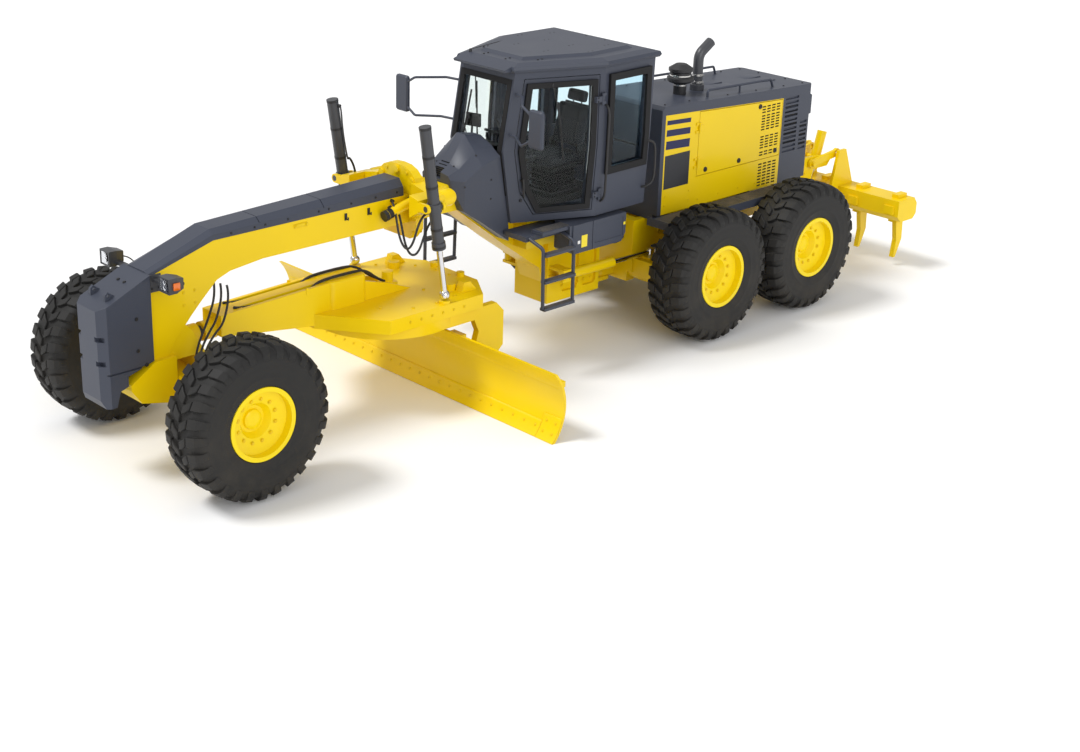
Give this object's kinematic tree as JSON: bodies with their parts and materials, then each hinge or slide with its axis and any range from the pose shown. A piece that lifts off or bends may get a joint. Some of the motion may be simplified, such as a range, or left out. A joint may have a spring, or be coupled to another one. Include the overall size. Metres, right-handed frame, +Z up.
{
  "type": "motor grader",
  "caption": "Articulated motor grader: curved blade under an arched front frame, six-sided cab, enclosed rear engine, tandem drive wheels and a rear ripper.",
  "frame": {"origin": "on the ground under the centre of the machine's overall box, parked straight and level", "axes": "+X towards the front, +Y to the machine's left, +Z up"},
  "size_m": [10.86, 4.32, 3.23],
  "materials": {
    "tyre": "matte, dusty",
    "rim_yellow": "gloss, dusty",
    "body_yellow": "gloss",
    "blade_yellow": "worn gloss",
    "cover_grey": "satin",
    "dark_steel": "satin",
    "black_plastic": "matte",
    "seat_fabric": "matte",
    "barrel_yellow": "gloss",
    "rod_chrome": "polished"
  },
  "bodies": {
    "rear_frame": {"rear_frame": "body_yellow", "engine_block": "dark_steel", "engine_hood": "cover_grey", "hood_sides": "body_yellow", "exhaust_stack": "dark_steel", "air_precleaner": "black_plastic", "fender_decks": "cover_grey", "tandem_cases": "body_yellow", "ripper_bracket": "body_yellow"},
    "front_frame": {"front_frame": "body_yellow", "beam_cover": "cover_grey", "push_block": "cover_grey", "headlamps": "dark_steel", "front_axle": "body_yellow", "saddle": "body_yellow", "cab_shell": "cover_grey", "cab_roof": "cover_grey", "operator_seat": "seat_fabric", "control_column": "black_plastic", "front_cowl": "cover_grey", "mirrors": "cover_grey", "ladders": "cover_grey"},
    "tie_rod": {"tie_rod": "dark_steel"},
    "drawbar_ball": {"drawbar_ball": "dark_steel"},
    "drawbar": {"drawbar": "body_yellow"},
    "circle": {"circle": "body_yellow"},
    "tip_carrier": {"tip_carrier": "body_yellow"},
    "moldboard": {"moldboard": "blade_yellow"},
    "ripper_arms": {"ripper_arms": "body_yellow"},
    "ripper_links": {"ripper_links": "body_yellow"},
    "ripper_beam": {"ripper_beam": "body_yellow"},
    "ripper_barrel": {"ripper_barrel": "barrel_yellow"},
    "ripper_rod": {"ripper_rod": "rod_chrome"},
    "knuckle_left": {"knuckle_left": "body_yellow"},
    "wheel_front_left": {"tyre_front_left": "tyre", "rim_front_left": "rim_yellow"},
    "wheel_mid_left": {"tyre_mid_left": "tyre", "rim_mid_left": "rim_yellow"},
    "wheel_rear_left": {"tyre_rear_left": "tyre", "rim_rear_left": "rim_yellow"},
    "cab_door_left": {"door_left": "cover_grey"},
    "hood_door_left": {"hood_door_left": "body_yellow"},
    "lift_barrel_left": {"lift_barrel_left": "dark_steel"},
    "lift_rod_left": {"lift_rod_left": "rod_chrome"},
    "hinge_barrel_left": {"hinge_barrel_left": "barrel_yellow"},
    "hinge_rod_left": {"hinge_rod_left": "rod_chrome"},
    "knuckle_right": {"knuckle_right": "body_yellow"},
    "wheel_front_right": {"tyre_front_right": "tyre", "rim_front_right": "rim_yellow"},
    "wheel_mid_right": {"tyre_mid_right": "tyre", "rim_mid_right": "rim_yellow"},
    "wheel_rear_right": {"tyre_rear_right": "tyre", "rim_rear_right": "rim_yellow"},
    "cab_door_right": {"door_right": "cover_grey"},
    "hood_door_right": {"hood_door_right": "body_yellow"},
    "lift_barrel_right": {"lift_barrel_right": "dark_steel"},
    "lift_rod_right": {"lift_rod_right": "rod_chrome"},
    "hinge_barrel_right": {"hinge_barrel_right": "barrel_yellow"},
    "hinge_rod_right": {"hinge_rod_right": "rod_chrome"}
  },
  "joints": [
    {"name": "wheel_mid_left_spin", "type": "hinge", "parent": "rear_frame", "child": "wheel_mid_left", "pos_m": [-1.56, 1.155, 0.74], "axis": [0, 1, 0], "continuous": true},
    {"name": "wheel_rear_left_spin", "type": "hinge", "parent": "rear_frame", "child": "wheel_rear_left", "pos_m": [-3.16, 1.155, 0.74], "axis": [0, 1, 0], "continuous": true},
    {"name": "wheel_front_left_spin", "type": "hinge", "parent": "knuckle_left", "child": "wheel_front_left", "pos_m": [4.56, 1.155, 0.74], "axis": [0, 1, 0], "continuous": true},
    {"name": "wheel_mid_right_spin", "type": "hinge", "parent": "rear_frame", "child": "wheel_mid_right", "pos_m": [-1.56, -1.155, 0.74], "axis": [0, 1, 0], "continuous": true},
    {"name": "wheel_rear_right_spin", "type": "hinge", "parent": "rear_frame", "child": "wheel_rear_right", "pos_m": [-3.16, -1.155, 0.74], "axis": [0, 1, 0], "continuous": true},
    {"name": "wheel_front_right_spin", "type": "hinge", "parent": "knuckle_right", "child": "wheel_front_right", "pos_m": [4.56, -1.155, 0.74], "axis": [0, 1, 0], "continuous": true},
    {"name": "articulation", "type": "hinge", "parent": "rear_frame", "child": "front_frame", "pos_m": [-1.06, 0, 0.83], "axis": [0, 0, 1], "range_deg": [-25, 25]},
    {"name": "steering_left", "type": "hinge", "parent": "front_frame", "child": "knuckle_left", "pos_m": [4.56, 0.85, 0.74], "axis": [0, 0, 1], "range_deg": [-47, 47]},
    {"name": "steering_right", "type": "hinge", "parent": "front_frame", "child": "knuckle_right", "pos_m": [4.56, -0.85, 0.74], "axis": [0, 0, 1], "range_deg": [-47, 47]},
    {"name": "tie_rod_slide", "type": "slide", "parent": "front_frame", "child": "tie_rod", "axis": [0, 1, 0], "range_m": [-0.17226, 0.17226]},
    {"name": "drawbar_swing", "type": "hinge", "parent": "front_frame", "child": "drawbar_ball", "pos_m": [4.29, 0, 1.13], "axis": [0, 0, 1], "range_deg": [-11.5, 11.5]},
    {"name": "drawbar_lift", "type": "hinge", "parent": "drawbar_ball", "child": "drawbar", "pos_m": [4.29, 0, 1.13], "axis": [0, 1, 0], "range_deg": [-8, 9.3]},
    {"name": "circle_turn", "type": "hinge", "parent": "drawbar", "child": "circle", "pos_m": [2.06, 0, 0.85], "axis": [0, 0, -1], "range_deg": [-55, 55]},
    {"name": "blade_tip", "type": "hinge", "parent": "circle", "child": "tip_carrier", "pos_m": [1.41, 0, 0.3], "axis": [0, 1, 0], "range_deg": [-5, 40]},
    {"name": "blade_shift", "type": "slide", "parent": "tip_carrier", "child": "moldboard", "axis": [0, 1, 0], "range_m": [-0.55, 0.55]},
    {"name": "lift_barrel_left_tilt", "type": "hinge", "parent": "front_frame", "child": "lift_barrel_left", "pos_m": [2.01647, 0.7, 2.05], "axis": [1, 0, 0], "range_deg": [-30.39, 30.39]},
    {"name": "lift_rod_left_slide", "type": "slide", "parent": "lift_barrel_left", "child": "lift_rod_left", "axis": [-0.1542, 0, -0.988], "range_m": [-0.39802, 0.34252]},
    {"name": "lift_barrel_right_tilt", "type": "hinge", "parent": "front_frame", "child": "lift_barrel_right", "pos_m": [2.01647, -0.7, 2.05], "axis": [1, 0, 0], "range_deg": [-30.39, 30.39]},
    {"name": "lift_rod_right_slide", "type": "slide", "parent": "lift_barrel_right", "child": "lift_rod_right", "axis": [-0.1542, 0, -0.988], "range_m": [-0.39802, 0.34252]},
    {"name": "hinge_barrel_left_turn", "type": "hinge", "parent": "front_frame", "child": "hinge_barrel_left", "pos_m": [-0.08, 0.42, 0.83], "axis": [0, 0, 1], "range_deg": [-6.1, 6.1]},
    {"name": "hinge_rod_left_slide", "type": "slide", "parent": "hinge_barrel_left", "child": "hinge_rod_left", "axis": [-0.9993, 0.0381, 0], "range_m": [-0.19779, 0.19779]},
    {"name": "hinge_barrel_right_turn", "type": "hinge", "parent": "front_frame", "child": "hinge_barrel_right", "pos_m": [-0.08, -0.42, 0.83], "axis": [0, 0, 1], "range_deg": [-6.1, 6.1]},
    {"name": "hinge_rod_right_slide", "type": "slide", "parent": "hinge_barrel_right", "child": "hinge_rod_right", "axis": [-0.9993, -0.0381, 0], "range_m": [-0.19779, 0.19779]},
    {"name": "cab_door_left_open", "type": "hinge", "parent": "front_frame", "child": "cab_door_left", "pos_m": [-0.162, 0.797, 2.3], "axis": [0, 0, 1], "range_deg": [0, 85]},
    {"name": "cab_door_right_open", "type": "hinge", "parent": "front_frame", "child": "cab_door_right", "pos_m": [-0.162, -0.797, 2.3], "axis": [0, 0, -1], "range_deg": [0, 85]},
    {"name": "hood_door_left_open", "type": "hinge", "parent": "rear_frame", "child": "hood_door_left", "pos_m": [-1.99, 0.564, 1.95], "axis": [0, 0, -1], "range_deg": [0, 88]},
    {"name": "hood_door_right_open", "type": "hinge", "parent": "rear_frame", "child": "hood_door_right", "pos_m": [-1.99, -0.564, 1.95], "axis": [0, 0, 1], "range_deg": [0, 88]},
    {"name": "ripper_lower", "type": "hinge", "parent": "rear_frame", "child": "ripper_arms", "pos_m": [-4.49, 0, 0.76], "axis": [0, -1, 0], "range_deg": [-5, 38]},
    {"name": "ripper_link_turn", "type": "hinge", "parent": "rear_frame", "child": "ripper_links", "pos_m": [-4.59, 0, 1.22], "axis": [0, -1, 0], "range_deg": [-5, 38]},
    {"name": "ripper_beam_turn", "type": "hinge", "parent": "ripper_arms", "child": "ripper_beam", "pos_m": [-4.97, 0, 0.82], "axis": [0, -1, 0], "range_deg": [-38, 5]},
    {"name": "ripper_barrel_tilt", "type": "hinge", "parent": "rear_frame", "child": "ripper_barrel", "pos_m": [-4.92, 0, 1.2], "axis": [0, -1, 0], "range_deg": [-1, 1]},
    {"name": "ripper_rod_slide", "type": "slide", "parent": "ripper_barrel", "child": "ripper_rod", "axis": [0.2787, 0, -0.9604], "range_m": [-0.02631, 0.19334]}
  ],
  "couplings": [
    {"joint": "steering_right", "follows": "steering_left", "ratio": 1},
    {"joint": "tie_rod_slide", "follows": "steering_left", "m_per_rad": -0.21},
    {"joint": "lift_barrel_left_tilt", "follows": "drawbar_swing", "ratio": -2.6334},
    {"joint": "lift_rod_left_slide", "follows": "drawbar_lift", "m_per_rad": -2.4459},
    {"joint": "lift_barrel_right_tilt", "follows": "drawbar_swing", "ratio": -2.6334},
    {"joint": "lift_rod_right_slide", "follows": "drawbar_lift", "m_per_rad": -2.4459},
    {"joint": "hinge_barrel_left_turn", "follows": "articulation", "ratio": -0.24},
    {"joint": "hinge_rod_left_slide", "follows": "articulation", "m_per_rad": -0.451},
    {"joint": "hinge_barrel_right_turn", "follows": "articulation", "ratio": -0.24},
    {"joint": "hinge_rod_right_slide", "follows": "articulation", "m_per_rad": 0.451},
    {"joint": "ripper_link_turn", "follows": "ripper_lower", "ratio": 1},
    {"joint": "ripper_beam_turn", "follows": "ripper_lower", "ratio": -1},
    {"joint": "ripper_barrel_tilt", "follows": "ripper_lower", "ratio": -0.012},
    {"joint": "ripper_rod_slide", "follows": "ripper_lower", "m_per_rad": 0.29}
  ]
}
